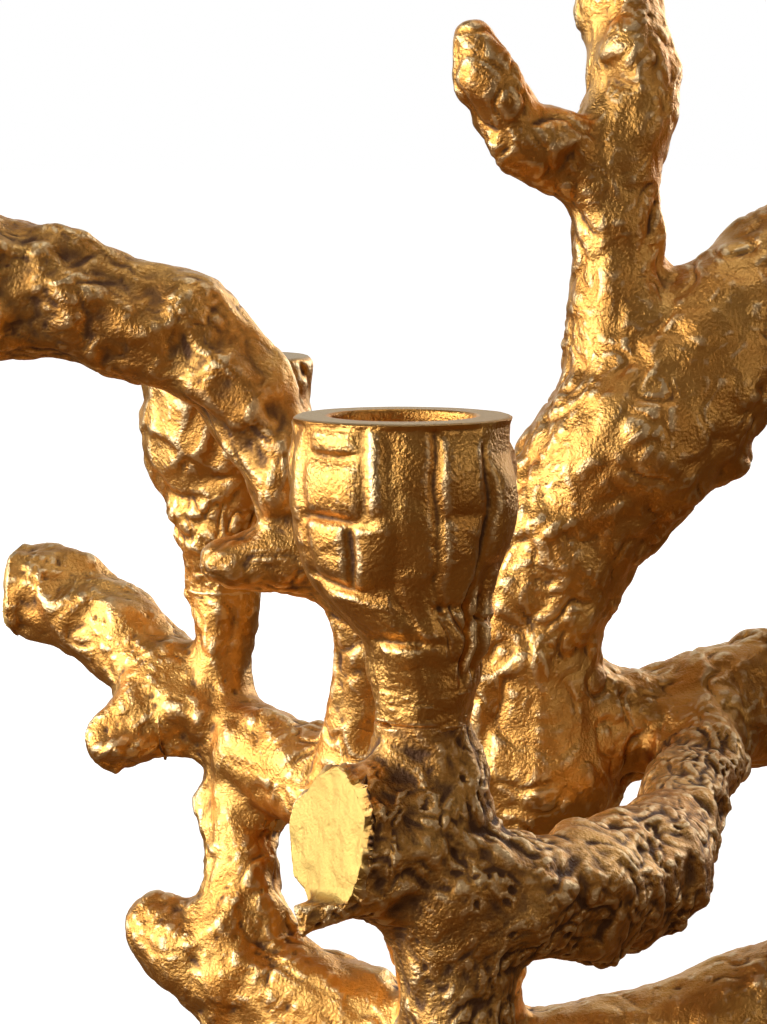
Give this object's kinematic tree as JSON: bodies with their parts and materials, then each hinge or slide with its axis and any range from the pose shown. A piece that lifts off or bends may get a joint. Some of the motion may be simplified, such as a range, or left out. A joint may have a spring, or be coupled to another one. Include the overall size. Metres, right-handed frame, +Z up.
{
  "type": "tabletop candelabra",
  "caption": "Branching coral-form candelabra of cast, gilded metal that stands on root feet and holds dinner candles in cups on its branch ends.",
  "frame": {"origin": "centre of the bounding box in plan, on the plane the felt pads stand on", "axes": "+Z up, the way the candles stand; +X to the right and +Y to the rear as seen from the side with the lone front cup"},
  "size_m": [0.2848, 0.242, 0.304],
  "materials": {
    "gilt_casting": "antique gold plating over sand-cast texture, brown patina in the recesses",
    "stud_steel": "plain threaded rod",
    "felt": "brown felt"
  },
  "bodies": {
    "root": {"base_casting": "gilt_casting", "trunk_casting": "gilt_casting", "top_branch": "gilt_casting", "right_upper_branch": "gilt_casting", "right_back_branch": "gilt_casting", "right_low_branch": "gilt_casting", "front_branch": "gilt_casting", "left_upper_branch": "gilt_casting", "left_middle_branch": "gilt_casting", "left_low_branch": "gilt_casting", "rear_branch": "gilt_casting", "candle_cup_front": "gilt_casting", "candle_cup_back_left": "gilt_casting", "candle_cup_top": "gilt_casting", "candle_cup_right_upper": "gilt_casting", "candle_cup_back_right": "gilt_casting", "candle_cup_left": "gilt_casting", "branch_studs": "stud_steel", "cup_studs": "stud_steel", "foot_pads": "felt"}
  },
  "joints": []
}
